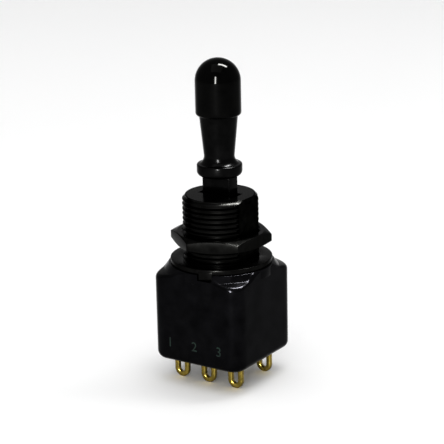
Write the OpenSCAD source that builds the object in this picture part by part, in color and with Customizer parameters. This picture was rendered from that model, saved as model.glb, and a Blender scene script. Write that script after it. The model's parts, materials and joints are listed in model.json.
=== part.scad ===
// Panel toggle switch, double pole, sealed, with a pull-to-unlock lever.
// Frame: +Z runs up the bushing, X is the way the lever is thrown and the way each
// row of three terminals runs, and the origin is on the bushing's axis in the panel
// seat, the top face of the locking ring.

/* [Bushing] */
// Major diameter of the bushing thread, 15/32 inch
bushing_d = 11.906; // [11:0.001:13]
// Pitch of the bushing thread, 32 turns to the inch
thread_pitch = 0.794; // [0.5:0.001:1.2]
// Height of the bushing above the panel seat
bushing_h = 10.1; // [9:0.1:12]
// Chamfer round the bushing's top
bushing_chamfer = 0.5; // [0.2:0.1:0.8]
// Depth of the flat along the +X side of the thread
flat_depth = 0.5; // [0.3:0.05:0.6]
// Thickness of the bushing's top wall, in which the lever's gate is cut
gate_t = 0.7; // [0.5:0.05:0.9]
// Diameter of the chamber that holds the lever's ball
chamber_d = 6.6; // [6.4:0.1:7.4]
// Diameter of the wide mouth at the bushing's lower end
mouth_d = 8.8; // [8.6:0.1:9.4]
// Height of the top of the wide mouth
mouth_top_z = 1; // [0.6:0.1:1.4]
// Thickness of the flange that holds the bushing in the housing
flange_t = 0.8; // [0.6:0.1:1]
// Thickness of the gasket over the flange
gasket_t = 0.3; // [0.2:0.05:0.4]

/* [Panel hardware] */
// Thickness of the hexagon nut's wall at the middle of a flat
nut_wall = 1.047; // [0.9:0.001:1.5]
// Height of the nut
nut_h = 2; // [1.6:0.1:2.6]
// Turns of thread between the panel seat and the nut
nut_turns = 2.8; // [2.6:0.1:3.6]
// Angle to which the nut is turned
nut_angle = 22.3; // [0:0.1:60]
// Angle of the bevel on the nut's corners
nut_bevel = 20; // [10:1:30]
// Step from the housing's faces in to the rim of the locking ring
ring_inset = 0.15; // [0:0.01:0.3]
// Thickness of the locking ring
ring_t = 0.8; // [0.6:0.05:1]
// Width of the ring's bent tab
tab_w = 2.2; // [1.8:0.1:2.6]
// Radial thickness of the tab
tab_t = 0.5; // [0.3:0.05:0.6]
// Length of the tab below the ring
tab_h = 0.9; // [0.6:0.05:1]
// Angle of the tab round the bushing
tab_angle = -75; // [-110:1:-60]

/* [Housing] */
// Width of the square housing beyond the bushing thread on each side
side_w = 2.197; // [2:0.001:2.5]
// Height of the housing below its round boss
housing_h = 13.85; // [13.6:0.05:14.6]
// Height of the round boss
boss_h = 1.45; // [1.3:0.05:1.6]
// Reach of the boss past the middle of the housing's faces
boss_reach = 0.12; // [0.05:0.01:0.2]
// Drop of the boss's foot below the top of the housing's faces
boss_drop = 0.15; // [0.1:0.05:0.3]
// Radius of the boss's flared foot
boss_flare = 4; // [3.5:0.1:4.5]
// Width and height of the step between the boss and its flare
boss_step = 0.1; // [0.05:0.01:0.15]
// Radius of the housing's upright corners
corner_r = 2.4; // [1.8:0.1:2.8]
// Radius of the housing's bottom edges
bottom_r = 1.2; // [0.6:0.1:1.3]
// Radius of the housing's top edges
top_r = 0.4; // [0.2:0.1:0.6]
// Thickness of the housing's side walls
wall_t = 1.4; // [1.2:0.05:1.6]
// Thickness of the housing's top wall under the boss
roof_t = 0.75; // [0.6:0.05:0.9]

/* [Terminals] */
// Room between an outer terminal and the housing wall
lug_room = 0.45; // [0.3:0.05:0.6]
// Distance from each row of terminals to the housing wall beside it
row_inset = 2.6; // [2.4:0.1:2.8]
// Thickness of the terminal base
base_t = 2.65; // [2.4:0.05:2.9]
// Width of a solder lug
lug_w = 2.5; // [2.2:0.1:2.8]
// Thickness of the terminal strip
lug_t = 0.8; // [0.6:0.05:1]
// Width of the strip on each side of the lug's eye
lug_strand = 0.85; // [0.7:0.05:0.9]
// Length of a lug below the housing
lug_l = 3.8; // [3.4:0.1:4.6]
// Diameter of a fixed contact
contact_d = 2; // [1.6:0.1:2.2]
// Height of a fixed contact
contact_h = 0.4; // [0.3:0.05:0.5]
// Thickness of the pad under a fixed contact
pad_t = 0.4; // [0.3:0.05:0.5]
// Height of the pad above the terminal base
pad_rise = 0.15; // [0.1:0.05:0.3]
// Rim of the pad round the contact
pad_rim = 0.1; // [0.05:0.05:0.2]
// Gap between an open pair of contacts
contact_gap = 0.62; // [0.6:0.02:0.8]

/* [Rockers] */
// Room between each end of a rocker and the housing wall
rocker_room = 0.85; // [0.6:0.05:1]
// Width of a rocker
rocker_w = 2.4; // [2:0.1:2.6]
// Thickness of a rocker
rocker_t = 0.6; // [0.5:0.05:0.7]
// Rise of a rocker from its middle to its ends
rocker_rise = 0.3; // [0.2:0.05:0.4]
// Length of the flat at a rocker's middle
rocker_flat = 1.2; // [1:0.1:1.6]
// Height of the rivet under each end of a rocker
rivet_h = 0.35; // [0.3:0.05:0.4]
// Radius of the ridge on which a rocker tips
ridge_r = 0.5; // [0.4:0.05:0.6]
// Length of the centre terminal's head along the row
seat_l = 1.6; // [1.4:0.1:2]
// Thickness of the ears that keep a rocker in line
ear_t = 0.4; // [0.3:0.05:0.5]

/* [Lever] */
// Throw of the lever to each side
throw_angle = 12.5; // [10:0.5:13]
// Depth of the lever's pivot below the top of the bushing
pivot_depth = 2.8; // [2.7:0.05:3.1]
// Diameter of the lever's ball
ball_d = 4.5; // [4.3:0.1:4.6]
// Diameter of the cross pin through the ball
pin_d = 1.2; // [1:0.05:1.25]
// Length of the cross pin
pin_l = 8; // [7.6:0.1:8.4]
// Diameter of the lever's lower stem
stem_d = 2.4; // [2:0.1:2.5]
// Diameter of the rod that guides the handle
rod_d = 1.5; // [1.3:0.05:1.5]
// Thickness of the head that keeps the handle on the rod
rod_head_t = 0.8; // [0.6:0.1:1]
// Cross section of the seal ring under the ball
seal_section = 1.3; // [1.2:0.02:1.34]

/* [Handle] */
// Diameter of the handle's cap
cap_d = 7.1; // [6.8:0.1:7.4]
// Height of the whole lever above the bushing
lever_h = 21.4; // [21:0.1:23]
// Height of the cap's straight part
cap_straight = 5.35; // [5.1:0.05:5.6]
// Radius of the cap's lower edge
cap_edge_r = 0.5; // [0.3:0.05:0.6]
// Diameter of the shank at the cap
shank_top_d = 6; // [5.6:0.1:6.2]
// Diameter of the shank's waist
waist_d = 4.74; // [4.6:0.02:5]
// Height of the waist above the bushing
waist_h = 6.3; // [6.2:0.1:6.6]
// Radius of the flare between waist and collar
flare_r = 1.35; // [1.3:0.01:1.4]
// Diameter of the collar
collar_d = 7.1; // [6.9:0.1:7.3]
// Thickness of the collar
collar_t = 1.95; // [1.9:0.05:2]
// Height of the collar's underside above the bushing
collar_h = 2.95; // [2.9:0.05:3.2]
// Radius of the collar's lower edge
collar_r = 0.8; // [0.5:0.05:0.9]
// Length of the locking foot along the throw
foot_l = 5.1; // [4.8:0.1:5.4]
// Width of the locking foot
foot_w = 2.4; // [2.3:0.1:2.8]
// Depth that the foot reaches into the gate
foot_in = 0.45; // [0.3:0.05:0.45]
// Travel of the handle when it is pulled to unlock
handle_lift = 2; // [1.6:0.1:2.2]
// Diameter of the neck that the cap covers
neck_d = 4.8; // [4.6:0.1:5]
// Depth of the neck's top below the centre of the cap's dome
neck_drop = 0.9; // [0.7:0.1:1.2]
// Bore of the chamber that holds the handle's spring
spring_chamber_d = 3; // [2.8:0.1:3.2]
// Length that the handle's spring has left when the handle is pulled
spring_spare = 2.34; // [2:0.01:2.6]
// Wire of the handle's spring
spring_wire = 0.32; // [0.28:0.01:0.36]
// Turns of the handle's spring
spring_turns = 8; // [6:1:9]
// Drop of the rod's head below the bottom of the cap
rod_head_drop = 0.65; // [0.5:0.05:0.9]

/* [Carriage] */
// Length of the plunger carriage along the throw
carriage_l = 3.8; // [3.4:0.1:4]
// Height of the carriage
carriage_h = 3.2; // [2.8:0.1:3.4]
// Diameter of a contact plunger
plunger_d = 2; // [1.6:0.1:2.2]
// Thickness of the carriage's wall outside each plunger
carriage_wall = 0.4; // [0.3:0.05:0.5]
// Thickness of the carriage over the plunger springs
carriage_roof = 0.6; // [0.5:0.05:0.8]
// Depth of the lever's stem in the carriage
stem_in = 1.6; // [1.4:0.1:1.8]
// Travel of a plunger into the carriage
plunger_travel = 0.7; // [0.5:0.05:0.9]
// Length that a plunger spring has left when the plunger is pressed home
plunger_spring_spare = 0.36; // [0.2:0.02:0.5]
// Wire of a plunger spring
plunger_wire = 0.28; // [0.24:0.01:0.3]
// Turns of a plunger spring
plunger_turns = 3; // [2:1:3]

/* [Fits] */
// Radial clearance of the nut on its thread
nut_fit = 0.02; // [0.01:0.01:0.04]
// Radial clearance of the locking ring and the housing on the bushing
ring_fit = 0.05; // [0.03:0.01:0.1]
// Clearance of sliding pins, plungers and the handle
slide_fit = 0.05; // [0.03:0.01:0.06]
// Clearance at the lever's limits
swing_gap = 0.08; // [0.05:0.01:0.12]
// Gap between parts that rest against one another
rest_gap = 0.05; // [0.03:0.01:0.1]

/* [Hidden] */
$fn = 96;
cut = 0.2;                              // how far a cutter runs past what it cuts

// heights, from the top down
bushing_r = bushing_d / 2;
pivot_z = bushing_h - pivot_depth;
chamber_top_z = bushing_h - gate_t;
housing_top_z = -ring_t - boss_h;
roof_z = housing_top_z - roof_t;
flange_z = roof_z - gasket_t - flange_t;
housing_z = housing_top_z - housing_h;
base_top_z = housing_z + base_t;
nut_z = nut_turns * thread_pitch;

// widths
housing_w = bushing_d + 2 * side_w;
ring_d = housing_w - 2 * ring_inset;
boss_r = housing_w / 2 + boss_reach;
nut_af = bushing_d + 2 * nut_wall;
chamber_r = chamber_d / 2;
mouth_r = mouth_d / 2;
ball_r = ball_d / 2;
pin_r = pin_d / 2;
inner_w = housing_w - 2 * wall_t;
flange_r = inner_w / 2 - rest_gap;

// fixed contacts and rockers
terminal_pitch = inner_w / 2 - lug_w / 2 - lug_room;
row_pitch = inner_w - 2 * row_inset;
rocker_l = inner_w - 2 * rocker_room;
contact_top_z = base_top_z + pad_rise + pad_t + contact_h;
// Height of a rocker's underside at x above its underside in the middle
function rocker_under(x) = rocker_rise * max(0, abs(x) - rocker_flat / 2) / (rocker_l / 2 - rocker_flat / 2);
rocker_z = contact_top_z + contact_gap + rivet_h - rocker_under(terminal_pitch);

// carriage and plungers
carriage_clear = 0.3;                   // left under the flange when the carriage swings
mouth_sweep = (carriage_l / 2) * sin(throw_angle);
carriage_top_z = pivot_z - (pivot_z - flange_z + carriage_clear + mouth_sweep) / cos(throw_angle);
carriage_z = carriage_top_z - carriage_h;
carriage_w = row_pitch + plunger_d + 2 * carriage_wall;
plunger_tip_z = rocker_z + rocker_t + rest_gap;
plunger_hole_z = carriage_top_z - carriage_roof;
plunger_spring_l = plunger_travel + plunger_turns * plunger_wire + plunger_spring_spare;
plunger_top_z = plunger_hole_z - plunger_spring_l;
stem_z = carriage_top_z - stem_in;

// seal ring, which bears on the ball and the chamber wall
seal_r = seal_section / 2;
seal_ring_r = chamber_r - rest_gap - seal_r;
seal_reach = ball_r + seal_r + 0.02;
seal_z = pivot_z - sqrt(seal_reach * seal_reach - seal_ring_r * seal_ring_r);
retainer_top_z = seal_z - seal_r - rest_gap;
retainer_r = chamber_r - 0.4;
slot_w = pin_d + 2 * slide_fit;
slot_r = pin_l / 2 + 0.1;

// gate for the locking foot, as wide as the foot sweeps at the bushing's top
gate_l = 2 * (foot_l / 2 / cos(throw_angle) + pivot_depth * tan(throw_angle) + swing_gap);
gate_w = foot_w + 4 * slide_fit;

// handle
foot_z = bushing_h - foot_in;
collar_z = bushing_h + collar_h;
waist_z = bushing_h + waist_h;
dome_z = bushing_h + lever_h - cap_d / 2;
cap_z = dome_z - cap_straight;
neck_top_z = dome_z - neck_drop;
spring_chamber_r = spring_chamber_d / 2;
rod_head_z = cap_z - rod_head_drop;
rod_top_z = rod_head_z + rod_head_t;
spring_floor_z = rod_head_z - handle_lift - spring_turns * spring_wire - spring_spare;
spring_mean_r = spring_chamber_r - 2 * slide_fit - spring_wire / 2;

// ---- shapes used more than once ----

// Square of width w with corners of radius r, centred
module rounded_square(w, d, r) {
    square([w - 2 * r, d], center = true);
    square([w, d - 2 * r], center = true);
    for (x = [-1, 1], y = [-1, 1])
        translate([x * (w / 2 - r), y * (d / 2 - r)]) circle(r = r);
}

// Side view of a block from z0 to z1 with bottom edges rounded by rb and top edges by rt
module rounded_side(w, z0, z1, rb, rt) {
    translate([-w / 2, z0 + rb]) square([w, z1 - z0 - rb - rt]);
    translate([-w / 2 + rb, z0]) square([w - 2 * rb, z1 - z0 - rt]);
    translate([-w / 2 + rt, z0 + rb]) square([w - 2 * rt, z1 - z0 - rb]);
    for (x = [-1, 1]) {
        translate([x * (w / 2 - rb), z0 + rb]) circle(r = rb);
        translate([x * (w / 2 - rt), z1 - rt]) circle(r = rt);
    }
}

// Coil spring standing on z0: the wire is swept round as a polyhedron
module coil(mean_r, wire, z0, z1, turns, sides = 6, steps = 14) {
    n = turns * steps;
    rise = (z1 - z0 - wire) / n;
    ring = [for (i = [0:n], k = [0:sides - 1])
        let (a = 360 * i / steps, b = 360 * k / sides,
             r = mean_r + wire / 2 * cos(b))
        [r * cos(a), r * sin(a), z0 + wire / 2 + i * rise + wire / 2 * sin(b)]];
    quads = [for (i = [0:n - 1], k = [0:sides - 1])
        let (a = i * sides + k, b = i * sides + (k + 1) % sides)
        [a, b, b + sides, a + sides]];
    ends = [[for (k = [sides - 1:-1:0]) k], [for (k = [0:sides - 1]) n * sides + k]];
    polyhedron(points = ring, faces = concat(quads, ends), convexity = 8);
}

// ---- housing ----

module housing_outer() {
    intersection() {
        translate([0, 0, housing_z])
            linear_extrude(housing_h) rounded_square(housing_w, housing_w, corner_r);
        rotate([90, 0, 0]) linear_extrude(2 * housing_w, center = true)
            rounded_side(housing_w, housing_z, housing_top_z, bottom_r, top_r);
        rotate([90, 0, 90]) linear_extrude(2 * housing_w, center = true)
            rounded_side(housing_w, housing_z, housing_top_z, bottom_r, top_r);
    }
}

// Round boss under the locking ring, which bulges past the middle of each face. Its concave
// flare runs out to the corners, and the faces cut it off.
module boss() {
    flare_top_z = -ring_t - boss_step;
    flare_r = boss_r + boss_step;
    over = boss_flare - (flare_top_z - housing_top_z);
    centre_r = flare_r + sqrt(boss_flare * boss_flare - over * over);
    translate([0, 0, housing_top_z - boss_drop]) cylinder(r = boss_r, h = boss_h + boss_drop);
    intersection() {
        translate([0, 0, housing_top_z]) rotate_extrude() difference() {
            translate([0, -top_r]) square([centre_r, flare_top_z - housing_top_z + top_r]);
            translate([centre_r, boss_flare]) circle(r = boss_flare, $fn = 240);
        }
        translate([0, 0, housing_top_z - 2 * top_r])
            linear_extrude(boss_h + 2 * top_r) rounded_square(housing_w, housing_w, corner_r);
    }
}

module housing() {
    color([0.06, 0.06, 0.065]) difference() {
        union() {
            housing_outer();
            boss();
        }
        translate([0, 0, housing_z - cut])
            linear_extrude(roof_z - housing_z + cut) rounded_square(inner_w, inner_w, corner_r - wall_t);
        translate([0, 0, roof_z - cut]) cylinder(r = bushing_r + ring_fit, h = roof_t + boss_h + 2 * cut);
        tab_notch();
    }
}

// Recess in the boss that takes the locking ring's tab
module tab_notch() {
    rotate([0, 0, tab_angle])
        translate([ring_d / 2 - tab_t - 2 * ring_fit, -tab_w / 2 - 3 * ring_fit, -ring_t - tab_h - ring_fit])
            cube([tab_t + boss_flare, tab_w + 6 * ring_fit, tab_h + ring_fit + cut]);
}

// ---- bushing ----

module bushing() {
    color([0.1, 0.1, 0.1]) difference() {
        rotate_extrude() polygon([
            [0, flange_z], [flange_r, flange_z], [flange_r, flange_z + flange_t],
            [bushing_r, flange_z + flange_t], [bushing_r, bushing_h - bushing_chamfer],
            [bushing_r - bushing_chamfer, bushing_h], [0, bushing_h]]);
        translate([0, 0, mouth_top_z]) cylinder(r = chamber_r, h = chamber_top_z - mouth_top_z);
        translate([0, 0, flange_z - cut]) cylinder(r = mouth_r, h = mouth_top_z - flange_z + cut);
        translate([-gate_l / 2, -gate_w / 2, chamber_top_z - cut]) cube([gate_l, gate_w, gate_t + 2 * cut]);
        translate([bushing_r - flat_depth, -bushing_r, -ring_t])
            cube([flat_depth + cut, bushing_d, bushing_h + ring_t + cut]);
        pin_slot();
    }
}

// Grooves in the chamber wall, in which the cross pin slides up from below
module pin_slot() {
    intersection() {
        translate([-slot_w / 2, -slot_r, mouth_top_z - cut])
            cube([slot_w, 2 * slot_r, pivot_z - mouth_top_z + cut]);
        translate([0, 0, mouth_top_z - 2 * cut]) cylinder(r = slot_r, h = bushing_h);
    }
    rotate([90, 0, 0]) translate([0, pivot_z, -slot_r]) cylinder(r = slot_w / 2, h = 2 * slot_r);
}

module flange_gasket() {
    color([0.12, 0.12, 0.12]) translate([0, 0, roof_z - gasket_t]) difference() {
        cylinder(r = flange_r, h = gasket_t);
        translate([0, 0, -cut]) cylinder(r = bushing_r, h = gasket_t + 2 * cut);
    }
}

// ---- panel hardware ----

module panel_nut() {
    nut_r = nut_af / 2 / cos(30);
    past_r = nut_r + cut;
    bevel_r = nut_af / 2 - 0.15;
    bevel_h = (past_r - bevel_r) * tan(nut_bevel);
    color([0.09, 0.09, 0.09]) translate([0, 0, nut_z]) difference() {
        intersection() {
            rotate([0, 0, nut_angle]) cylinder(r = nut_r, h = nut_h, $fn = 6);
            rotate_extrude() polygon([
                [0, 0], [bevel_r, 0], [past_r, bevel_h],
                [past_r, nut_h - bevel_h], [bevel_r, nut_h], [0, nut_h]]);
        }
        translate([0, 0, -cut]) cylinder(r = bushing_r + nut_fit, h = nut_h + 2 * cut);
    }
}

module locking_ring() {
    color([0.09, 0.09, 0.09]) {
        difference() {
            translate([0, 0, -ring_t]) cylinder(d = ring_d, h = ring_t);
            intersection() {
                translate([0, 0, -ring_t - cut]) cylinder(r = bushing_r + ring_fit, h = ring_t + 2 * cut);
                translate([-bushing_d, -bushing_d, -ring_t - cut])
                    cube([bushing_d + bushing_r - flat_depth + ring_fit, 2 * bushing_d, ring_t + 2 * cut]);
            }
        }
        intersection() {
            rotate([0, 0, tab_angle]) translate([ring_d / 2 - tab_t, -tab_w / 2, -ring_t - tab_h])
                cube([tab_t + cut, tab_w, tab_h]);
            translate([0, 0, -ring_t - tab_h]) cylinder(d = ring_d, h = tab_h);
        }
    }
}

// ---- terminals ----

// Half the thickness of the strip stands on each side of the row's centre line
module terminal(column, row) {
    centre = column == 0;
    head_z = centre ? rocker_z - rest_gap / 2 - ridge_r : contact_top_z - contact_h - pad_t;
    color([0.83, 0.63, 0.24]) translate([column * terminal_pitch, row * row_pitch / 2, 0]) {
        rotate([90, 0, 0]) linear_extrude(lug_t, center = true) {
            lug_outline();
            translate([-lug_w / 2 + lug_strand / 2, housing_z]) square([lug_w - lug_strand, head_z - housing_z]);
        }
        if (centre) rocker_seat(head_z);
        else {
            translate([-contact_d / 2 - pad_rim, -contact_d / 2 - pad_rim, head_z])
                cube([contact_d + 2 * pad_rim, contact_d + 2 * pad_rim, pad_t]);
            translate([0, 0, head_z + pad_t]) cylinder(d = contact_d, h = contact_h);
        }
    }
}

// Loop eye of a solder lug: two strands joined by a round end
module lug_outline() {
    end_z = housing_z - lug_l + lug_w / 2;
    eye_r = lug_w / 2 - lug_strand;
    difference() {
        union() {
            translate([0, end_z]) circle(d = lug_w);
            translate([-lug_w / 2, end_z]) square([lug_w, base_top_z - base_t / 2 - end_z]);
        }
        translate([0, end_z]) circle(r = eye_r);
        translate([-eye_r, end_z]) square([2 * eye_r, housing_z - 0.3 - end_z]);
    }
}

// Head of a centre terminal: a ridge on which the rocker tips, between two ears
module rocker_seat(head_z) {
    seat_w = rocker_w + 2 * ear_t + 4 * slide_fit;
    translate([-seat_l / 2, -seat_w / 2, head_z - ridge_r]) cube([seat_l, seat_w, ridge_r]);
    rotate([90, 0, 0]) translate([0, head_z, 0]) cylinder(r = ridge_r, h = seat_w, center = true);
    for (y = [-1, 1])
        translate([-seat_l / 2, y * (seat_w - ear_t) / 2 - ear_t / 2, head_z - ridge_r])
            cube([seat_l, ear_t, 2 * ridge_r + rest_gap + rocker_t]);
}

module terminal_base() {
    rib_t = 1;
    rib_top_z = carriage_z - 1;
    color([0.08, 0.08, 0.08]) difference() {
        union() {
            translate([0, 0, housing_z]) linear_extrude(base_t)
                rounded_square(inner_w, inner_w, corner_r - wall_t);
            translate([-inner_w / 2 + 0.3, -rib_t / 2, base_top_z - cut])
                cube([inner_w - 0.6, rib_t, rib_top_z - base_top_z + cut]);
        }
        for (x = [-1, 0, 1], y = [-1, 1]) translate([x * terminal_pitch, y * row_pitch / 2, 0]) {
            translate([-lug_w / 2, -lug_t / 2, housing_z - cut]) cube([lug_w, lug_t, base_t / 2 + cut]);
            translate([-lug_w / 2 + lug_strand / 2, -lug_t / 2, housing_z]) cube([lug_w - lug_strand, lug_t, base_t + cut]);
        }
    }
}

// ---- rockers and their drive ----

// Moving contact bar, bent up a little towards both ends, with a rivet over each fixed contact
module rocker(row) {
    end = rocker_l / 2;
    flat = rocker_flat / 2;
    color([0.8, 0.66, 0.4]) translate([0, row * row_pitch / 2, rocker_z]) {
        rotate([90, 0, 0]) linear_extrude(rocker_w, center = true) polygon([
            [-flat, 0], [flat, 0], [end, rocker_rise], [end, rocker_rise + rocker_t],
            [flat, rocker_t], [-flat, rocker_t], [-end, rocker_rise + rocker_t], [-end, rocker_rise]]);
        for (x = [-1, 1])
            translate([x * terminal_pitch, 0, rocker_under(terminal_pitch) - rivet_h])
                cylinder(d = contact_d - 0.2, h = rivet_h + rocker_t / 2);
    }
}

module plunger(row) {
    color([0.75, 0.6, 0.35]) translate([0, row * row_pitch / 2, 0]) {
        translate([0, 0, plunger_tip_z + plunger_d / 2]) sphere(d = plunger_d);
        translate([0, 0, plunger_tip_z + plunger_d / 2])
            cylinder(d = plunger_d, h = plunger_top_z - plunger_tip_z - plunger_d / 2);
    }
}

module plunger_spring(row) {
    color([0.75, 0.75, 0.78]) translate([0, row * row_pitch / 2, 0])
        coil(plunger_d / 2 - plunger_wire / 2 - slide_fit, plunger_wire, plunger_top_z, plunger_hole_z, plunger_turns);
}

module carriage() {
    color([0.7, 0.66, 0.55]) difference() {
        translate([-carriage_l / 2, -carriage_w / 2, carriage_z]) cube([carriage_l, carriage_w, carriage_h]);
        for (y = [-1, 1]) translate([0, y * row_pitch / 2, carriage_z - cut])
            cylinder(r = plunger_d / 2 + slide_fit, h = plunger_hole_z - carriage_z + cut);
        translate([0, 0, stem_z]) cylinder(d = stem_d, h = carriage_top_z - stem_z + cut);
    }
}

module lever_core() {
    color([0.7, 0.7, 0.72]) difference() {
        union() {
            translate([0, 0, pivot_z]) sphere(d = ball_d);
            translate([0, 0, stem_z]) cylinder(d = stem_d, h = pivot_z - stem_z);
            translate([0, 0, pivot_z]) cylinder(d = rod_d, h = rod_top_z - pivot_z);
            translate([0, 0, rod_head_z]) cylinder(r = spring_chamber_r - slide_fit, h = rod_head_t);
        }
        rotate([90, 0, 0]) translate([0, pivot_z, 0]) cylinder(r = pin_r, h = 2 * ball_d, center = true);
    }
}

module pivot_pin() {
    color([0.72, 0.72, 0.75]) rotate([90, 0, 0]) translate([0, pivot_z, 0])
        cylinder(r = pin_r, h = pin_l, center = true);
}

// Sleeve under the seal ring, with two ribs that close the pin's grooves from below
module pivot_retainer() {
    rib_w = slot_w - 2 * slide_fit;
    rib_r = slot_r - slide_fit;
    rib_top_z = pivot_z - pin_r - rest_gap;
    color([0.75, 0.72, 0.6]) difference() {
        union() {
            translate([0, 0, mouth_top_z]) cylinder(r = chamber_r - slide_fit, h = retainer_top_z - mouth_top_z);
            intersection() {
                translate([-rib_w / 2, -rib_r, mouth_top_z]) cube([rib_w, 2 * rib_r, rib_top_z - mouth_top_z]);
                translate([0, 0, mouth_top_z]) cylinder(r = rib_r, h = rib_top_z - mouth_top_z);
            }
        }
        translate([0, 0, mouth_top_z - cut]) cylinder(r = retainer_r, h = retainer_top_z - mouth_top_z + 2 * cut);
        translate([0, 0, retainer_top_z - cut]) cylinder(r = chamber_r, h = bushing_h);
    }
}

module seal_ring() {
    color([0.05, 0.05, 0.05]) translate([0, 0, seal_z])
        rotate_extrude() translate([seal_ring_r, 0]) circle(r = seal_r, $fn = 48);
}

// ---- handle ----

module handle() {
    top_r = 0.3;
    collar_top_z = collar_z + collar_t;
    flare_z = waist_z - 0.2;
    color([0.07, 0.07, 0.07]) difference() {
        union() {
            rotate_extrude() union() {
                // collar with rounded edges
                translate([0, collar_z]) square([collar_d / 2 - collar_r, collar_t]);
                translate([0, collar_z + collar_r])
                    square([collar_d / 2, collar_t - collar_r - top_r]);
                translate([collar_d / 2 - collar_r, collar_z + collar_r]) circle(r = collar_r);
                translate([0, collar_z + collar_r])
                    square([collar_d / 2 - top_r, collar_t - collar_r]);
                translate([collar_d / 2 - top_r, collar_top_z - top_r]) circle(r = top_r);
                // concave flare down from the waist
                difference() {
                    translate([0, collar_top_z - top_r])
                        square([waist_d / 2 + flare_r * 0.75, flare_z - collar_top_z + top_r]);
                    translate([waist_d / 2 + flare_r, flare_z]) circle(r = flare_r);
                }
                // shank that widens to the cap, and the neck inside the cap
                polygon([
                    [0, flare_z], [waist_d / 2, flare_z], [shank_top_d / 2, cap_z],
                    [neck_d / 2, cap_z], [neck_d / 2, neck_top_z], [0, neck_top_z]]);
            }
            translate([-foot_l / 2, -foot_w / 2, foot_z]) cube([foot_l, foot_w, collar_z - foot_z + cut]);
        }
        translate([0, 0, foot_z - cut]) cylinder(r = rod_d / 2 + slide_fit, h = spring_floor_z - foot_z + 2 * cut);
        translate([0, 0, spring_floor_z]) cylinder(r = spring_chamber_r, h = neck_top_z - spring_floor_z + cut);
    }
}

module handle_cap() {
    color([0.03, 0.03, 0.03]) difference() {
        union() {
            translate([0, 0, dome_z]) sphere(d = cap_d);
            rotate_extrude() union() {
                translate([0, cap_z + cap_edge_r]) square([cap_d / 2, cap_straight - cap_edge_r]);
                translate([0, cap_z]) square([cap_d / 2 - cap_edge_r, cap_straight]);
                translate([cap_d / 2 - cap_edge_r, cap_z + cap_edge_r]) circle(r = cap_edge_r);
            }
        }
        translate([0, 0, cap_z - cut]) cylinder(d = neck_d, h = neck_top_z - cap_z + cut);
    }
}

module handle_spring() {
    color([0.75, 0.75, 0.78]) coil(spring_mean_r, spring_wire, spring_floor_z, rod_head_z, spring_turns);
}

// ---- nodes ----

housing();
bushing();
flange_gasket();
terminal_base();
terminal(-1, -1);  // terminal_front_left
terminal(0, -1);  // terminal_front_centre
terminal(1, -1);  // terminal_front_right
terminal(-1, 1);  // terminal_rear_left
terminal(0, 1);  // terminal_rear_centre
terminal(1, 1);  // terminal_rear_right
rocker(-1);  // rocker_front
rocker(1);  // rocker_rear
lever_core();
pivot_pin();
pivot_retainer();
seal_ring();
carriage();
plunger(-1);  // plunger_front
plunger(1);  // plunger_rear
plunger_spring(-1);  // plunger_spring_front
plunger_spring(1);  // plunger_spring_rear
handle();
handle_cap();
handle_spring();
panel_nut();
locking_ring();
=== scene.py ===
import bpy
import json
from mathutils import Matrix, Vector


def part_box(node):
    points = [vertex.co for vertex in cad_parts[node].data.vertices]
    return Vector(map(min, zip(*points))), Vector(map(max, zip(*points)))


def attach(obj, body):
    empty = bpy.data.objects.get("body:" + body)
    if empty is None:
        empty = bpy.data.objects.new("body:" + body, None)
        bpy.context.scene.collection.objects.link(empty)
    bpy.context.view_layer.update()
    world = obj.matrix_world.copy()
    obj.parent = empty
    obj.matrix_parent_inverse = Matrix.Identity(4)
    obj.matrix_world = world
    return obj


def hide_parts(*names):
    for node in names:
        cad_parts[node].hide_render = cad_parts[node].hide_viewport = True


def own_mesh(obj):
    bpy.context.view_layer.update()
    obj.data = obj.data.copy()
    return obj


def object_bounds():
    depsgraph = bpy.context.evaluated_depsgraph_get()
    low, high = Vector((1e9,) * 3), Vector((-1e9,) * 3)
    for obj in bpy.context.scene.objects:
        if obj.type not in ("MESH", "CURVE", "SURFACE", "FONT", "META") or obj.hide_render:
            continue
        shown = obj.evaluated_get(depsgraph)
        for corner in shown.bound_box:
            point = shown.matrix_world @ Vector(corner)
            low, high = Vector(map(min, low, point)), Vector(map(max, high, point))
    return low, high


bl_info = {
    "name": "Panel toggle switch",
    "version": (1, 0, 0),
    "blender": (4, 5, 0),
    "location": "View3D > Sidebar > Toggle Switch",
    "description": "Dresses the CAD model of a sealed panel toggle switch and sets its stage",
    "category": "Object",
}

import json
from math import acos, asin, cos, degrees, hypot, pi, radians, sin, sqrt, tan

import bmesh
import bpy
from mathutils import Matrix, Quaternion, Vector

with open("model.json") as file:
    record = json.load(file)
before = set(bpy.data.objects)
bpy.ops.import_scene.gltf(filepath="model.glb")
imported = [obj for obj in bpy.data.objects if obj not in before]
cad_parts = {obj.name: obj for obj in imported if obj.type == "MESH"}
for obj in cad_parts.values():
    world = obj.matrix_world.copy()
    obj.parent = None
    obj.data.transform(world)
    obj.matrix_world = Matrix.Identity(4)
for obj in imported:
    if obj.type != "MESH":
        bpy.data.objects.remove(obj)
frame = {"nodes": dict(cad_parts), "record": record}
CAD_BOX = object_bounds()

MM = 0.001
CASE = "case"
GRIP = "grip"
NUT = "nut"
SPRING_JOINTS = {
    "handle_spring": "handle_lift",
    "plunger_spring_front": "plunger_front_slide",
    "plunger_spring_rear": "plunger_rear_slide",
}
BUSHING_LOW, BUSHING_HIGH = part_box("bushing")
HOUSING_LOW, HOUSING_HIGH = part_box("housing")
BASE_LOW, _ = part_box("terminal_base")
NUT_LOW, NUT_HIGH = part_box("panel_nut")
RING_LOW, RING_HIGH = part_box("locking_ring")
HANDLE_LOW, HANDLE_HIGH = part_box("handle")
CAP_LOW, CAP_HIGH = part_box("handle_cap")


# ---------------------------------------------------------------- settings


def size(name, text, default):
    """A length in metres that a user may change."""
    return bpy.props.FloatProperty(
        name=name, description=text, default=default, min=0.0, unit="LENGTH", subtype="DISTANCE", precision=6
    )


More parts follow.
